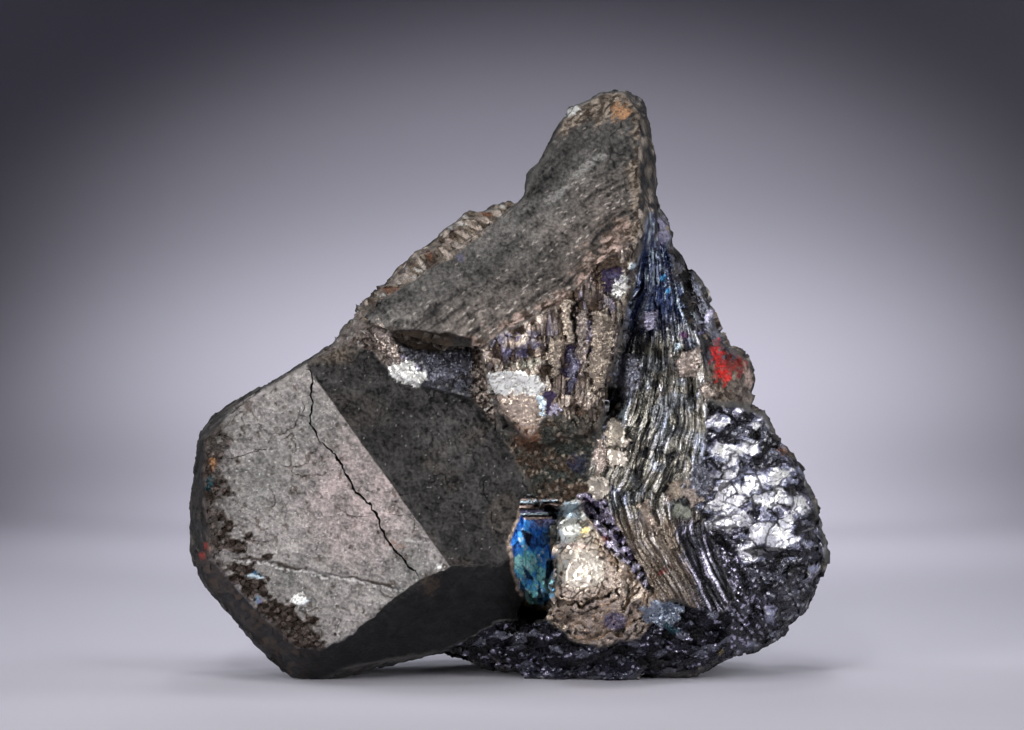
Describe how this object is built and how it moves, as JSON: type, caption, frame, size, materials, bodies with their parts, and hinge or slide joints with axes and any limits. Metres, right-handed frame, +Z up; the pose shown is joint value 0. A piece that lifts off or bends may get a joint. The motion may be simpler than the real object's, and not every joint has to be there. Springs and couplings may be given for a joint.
{
  "type": "native bismuth specimen",
  "caption": "Broken and cleaved mass of native bismuth that stands on a small flat: flat slabs, bent lamellae, a crusty dome and a tarnished pocket.",
  "frame": {"origin": "middle of the footprint box at the height of the resting flats", "axes": "+X to the right seen from the pictured front, +Y to the back, +Z up"},
  "size_m": [0.0722, 0.0398, 0.066],
  "materials": {
    "bismuth": "tarnished grey metal, matt on the slabs and bright on fresh cleavages"
  },
  "bodies": {
    "root": {"bismuth_specimen": "bismuth"}
  },
  "joints": []
}
